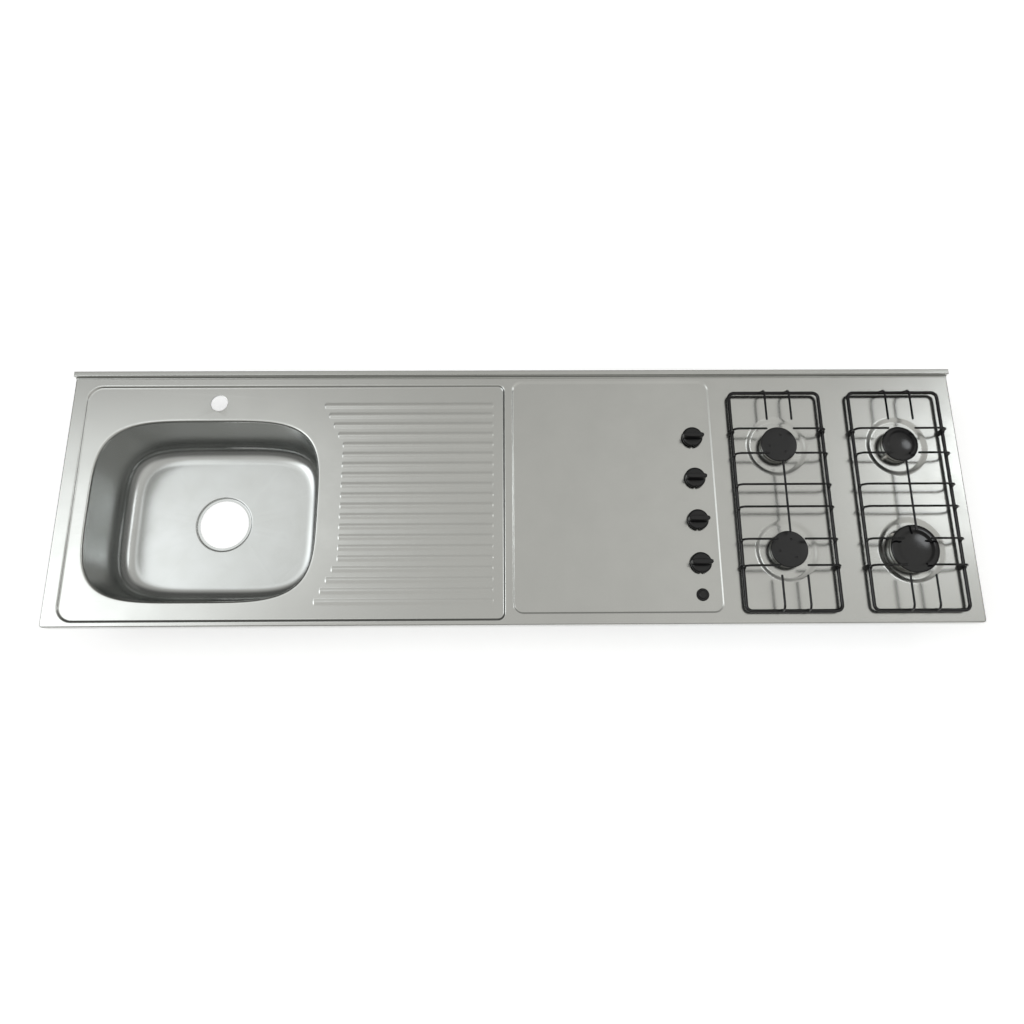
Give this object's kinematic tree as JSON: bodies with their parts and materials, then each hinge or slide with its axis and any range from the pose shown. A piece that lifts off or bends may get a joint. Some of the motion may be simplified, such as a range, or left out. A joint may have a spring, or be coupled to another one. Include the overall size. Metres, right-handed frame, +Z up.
{
  "type": "kitchenette worktop with sink and gas hob",
  "caption": "Stainless steel kitchenette top with a left-hand sink, a ribbed drainer, a plain panel and a gas hob with pan supports.",
  "frame": {"origin": "middle of the front edge's return fold, on the underside, where the top rests on its cabinets", "axes": "+X along the top towards the hob end, +Y from the front edge to the upstand, +Z up"},
  "size_m": [2, 0.576, 0.1993],
  "materials": {
    "stainless": "satin",
    "galvanised": "satin",
    "zinc_steel": "satin",
    "gas_pipe": "satin",
    "brass": "satin",
    "cast_aluminium": "satin",
    "feed_alu": "satin",
    "cap_gloss": "gloss",
    "cap_matt": "matte",
    "enamel_black": "gloss",
    "ceramic": "gloss",
    "grey_plastic": "matte",
    "black_plastic": "satin",
    "seal_rubber": "matte",
    "lead_silicone": "matte"
  },
  "bodies": {
    "top": {"worktop_sheet": "stainless", "sink_bowl": "stainless", "mixer_plate": "galvanised", "front_rail": "galvanised", "rear_rail": "galvanised", "cross_rails": "galvanised", "burner_box": "galvanised", "saddle_clamps": "galvanised", "screws": "zinc_steel", "cup_screws": "zinc_steel", "gas_rail": "gas_pipe", "gas_inlet": "brass", "tap_bonnets": "brass", "knob_seals": "seal_rubber", "injectors": "brass", "feed_nuts": "brass", "spark_electrodes": "ceramic", "spark_generator": "grey_plastic", "ignition_leads": "lead_silicone", "igniter_switch": "black_plastic", "igniter_nut": "black_plastic", "burner_cup_rear_left": "cast_aluminium", "burner_cup_front_left": "cast_aluminium", "burner_cup_rear_right": "cast_aluminium", "burner_cup_front_right": "cast_aluminium", "gas_tap_1": "brass", "feed_tube_1": "feed_alu", "gas_tap_2": "brass", "feed_tube_2": "feed_alu", "gas_tap_3": "brass", "feed_tube_3": "feed_alu", "gas_tap_4": "brass", "feed_tube_4": "feed_alu"},
    "plug_1": {"tap_plug_1": "brass"},
    "dial_1": {"tap_spindle_1": "zinc_steel", "knob_1": "black_plastic"},
    "plug_2": {"tap_plug_2": "brass"},
    "dial_2": {"tap_spindle_2": "zinc_steel", "knob_2": "black_plastic"},
    "plug_3": {"tap_plug_3": "brass"},
    "dial_3": {"tap_spindle_3": "zinc_steel", "knob_3": "black_plastic"},
    "plug_4": {"tap_plug_4": "brass"},
    "dial_4": {"tap_spindle_4": "zinc_steel", "knob_4": "black_plastic"},
    "ring_rear_left": {"flame_ring_rear_left": "cast_aluminium"},
    "cap_rear_left": {"burner_cap_rear_left": "cap_matt"},
    "ring_front_left": {"flame_ring_front_left": "cast_aluminium"},
    "cap_front_left": {"burner_cap_front_left": "cap_matt"},
    "ring_rear_right": {"flame_ring_rear_right": "cast_aluminium"},
    "cap_rear_right": {"burner_cap_rear_right": "cap_gloss"},
    "ring_front_right": {"flame_ring_front_right": "cast_aluminium"},
    "cap_front_right": {"burner_cap_front_right": "cap_gloss"},
    "igniter": {"igniter_button": "black_plastic"},
    "pan_support_left": {"grate_left": "enamel_black", "grate_feet_left": "seal_rubber"},
    "pan_support_right": {"grate_right": "enamel_black", "grate_feet_right": "seal_rubber"}
  },
  "joints": [
    {"name": "tap_turn_1", "type": "hinge", "parent": "top", "child": "plug_1", "pos_m": [0.401, 0.1225, -0.009], "axis": [0, 0, 1], "range_deg": [0, 210]},
    {"name": "knob_push_1", "type": "slide", "parent": "plug_1", "child": "dial_1", "axis": [0, 0, -1], "range_m": [0, 0.0035], "stiffness_N_per_m": 600},
    {"name": "tap_turn_2", "type": "hinge", "parent": "top", "child": "plug_2", "pos_m": [0.401, 0.2175, -0.009], "axis": [0, 0, 1], "range_deg": [0, 210]},
    {"name": "knob_push_2", "type": "slide", "parent": "plug_2", "child": "dial_2", "axis": [0, 0, -1], "range_m": [0, 0.0035], "stiffness_N_per_m": 600},
    {"name": "tap_turn_3", "type": "hinge", "parent": "top", "child": "plug_3", "pos_m": [0.401, 0.3125, -0.009], "axis": [0, 0, 1], "range_deg": [0, 210]},
    {"name": "knob_push_3", "type": "slide", "parent": "plug_3", "child": "dial_3", "axis": [0, 0, -1], "range_m": [0, 0.0035], "stiffness_N_per_m": 600},
    {"name": "tap_turn_4", "type": "hinge", "parent": "top", "child": "plug_4", "pos_m": [0.401, 0.4075, -0.009], "axis": [0, 0, 1], "range_deg": [0, 210]},
    {"name": "knob_push_4", "type": "slide", "parent": "plug_4", "child": "dial_4", "axis": [0, 0, -1], "range_m": [0, 0.0035], "stiffness_N_per_m": 600},
    {"name": "ring_lift_rear_left", "type": "slide", "parent": "top", "child": "ring_rear_left", "axis": [0, 0, 1], "range_m": [0, 0.004]},
    {"name": "cap_lift_rear_left", "type": "slide", "parent": "ring_rear_left", "child": "cap_rear_left", "axis": [0, 0, 1], "range_m": [0, 0.004]},
    {"name": "ring_lift_front_left", "type": "slide", "parent": "top", "child": "ring_front_left", "axis": [0, 0, 1], "range_m": [0, 0.004]},
    {"name": "cap_lift_front_left", "type": "slide", "parent": "ring_front_left", "child": "cap_front_left", "axis": [0, 0, 1], "range_m": [0, 0.004]},
    {"name": "ring_lift_rear_right", "type": "slide", "parent": "top", "child": "ring_rear_right", "axis": [0, 0, 1], "range_m": [0, 0.004]},
    {"name": "cap_lift_rear_right", "type": "slide", "parent": "ring_rear_right", "child": "cap_rear_right", "axis": [0, 0, 1], "range_m": [0, 0.004]},
    {"name": "ring_lift_front_right", "type": "slide", "parent": "top", "child": "ring_front_right", "axis": [0, 0, 1], "range_m": [0, 0.004]},
    {"name": "cap_lift_front_right", "type": "slide", "parent": "ring_front_right", "child": "cap_front_right", "axis": [0, 0, 1], "range_m": [0, 0.004]},
    {"name": "igniter_push", "type": "slide", "parent": "top", "child": "igniter", "axis": [0, 0, -1], "range_m": [0, 0.004], "stiffness_N_per_m": 500},
    {"name": "grate_lift_left", "type": "slide", "parent": "top", "child": "pan_support_left", "axis": [0, 0, 1], "range_m": [0, 0.06]},
    {"name": "grate_lift_right", "type": "slide", "parent": "top", "child": "pan_support_right", "axis": [0, 0, 1], "range_m": [0, 0.06]}
  ]
}
